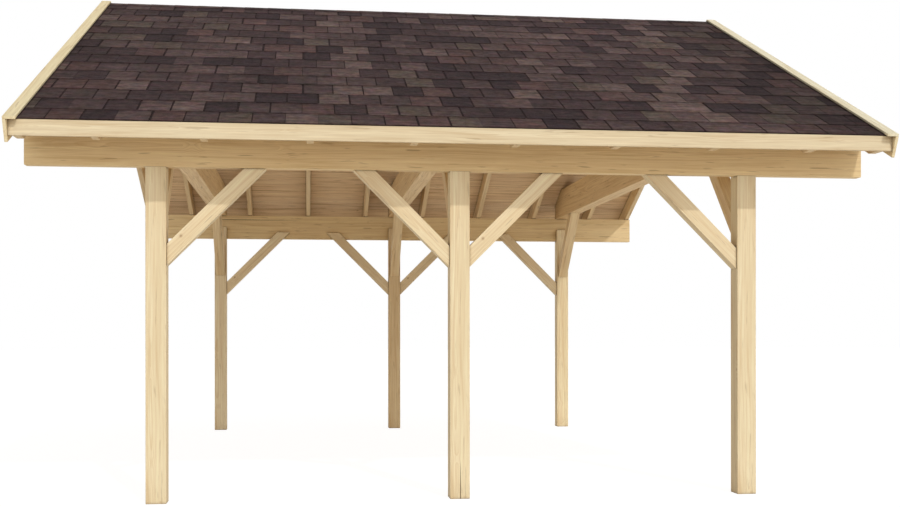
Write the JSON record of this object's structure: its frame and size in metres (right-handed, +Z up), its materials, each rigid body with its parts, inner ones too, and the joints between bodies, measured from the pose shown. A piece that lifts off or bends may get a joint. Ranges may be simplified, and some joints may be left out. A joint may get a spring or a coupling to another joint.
{
  "type": "timber gazebo",
  "caption": "Open timber shelter with braced posts, tie beams and a shingled gable roof, for standing over a terrace, a table or a vehicle.",
  "frame": {"origin": "centre of the plan, on the ground", "axes": "+X along the eaves and the ridge, +Y across the ridge towards the rear, +Z up"},
  "size_m": [5.116, 6.4786, 3.6885],
  "materials": {
    "post_wood": "planed pale softwood",
    "beam_wood": "planed pale softwood",
    "brace_wood": "planed pale softwood",
    "rafter_wood": "planed pale softwood",
    "board_wood": "planed tongue and groove softwood boards",
    "trim_wood": "planed pale softwood",
    "shingle": "mineral surfaced bitumen shingles"
  },
  "bodies": {
    "root": {"post_front_left": "post_wood", "post_front_middle": "post_wood", "post_front_right": "post_wood", "post_rear_left": "post_wood", "post_rear_middle": "post_wood", "post_rear_right": "post_wood", "eave_beam_front": "beam_wood", "eave_beam_rear": "beam_wood", "tie_beam_left": "beam_wood", "tie_beam_middle": "beam_wood", "tie_beam_right": "beam_wood", "ridge_beam": "beam_wood", "king_post_left": "post_wood", "king_post_middle": "post_wood", "king_post_right": "post_wood", "eave_brace_front_1": "brace_wood", "eave_brace_front_2": "brace_wood", "eave_brace_front_3": "brace_wood", "eave_brace_front_4": "brace_wood", "eave_brace_rear_1": "brace_wood", "eave_brace_rear_2": "brace_wood", "eave_brace_rear_3": "brace_wood", "eave_brace_rear_4": "brace_wood", "depth_brace_front_left": "brace_wood", "depth_brace_front_middle": "brace_wood", "depth_brace_front_right": "brace_wood", "depth_brace_rear_left": "brace_wood", "depth_brace_rear_middle": "brace_wood", "depth_brace_rear_right": "brace_wood", "rafters_front": "rafter_wood", "rafters_rear": "rafter_wood", "roof_boards_front": "board_wood", "roof_boards_rear": "board_wood", "shingles_front": "shingle", "shingles_rear": "shingle", "fascia_front": "trim_wood", "fascia_rear": "trim_wood", "barge_front_left": "trim_wood", "barge_front_right": "trim_wood", "barge_rear_left": "trim_wood", "barge_rear_right": "trim_wood", "cap_front_left": "trim_wood", "cap_front_right": "trim_wood", "cap_rear_left": "trim_wood", "cap_rear_right": "trim_wood"}
  },
  "joints": []
}
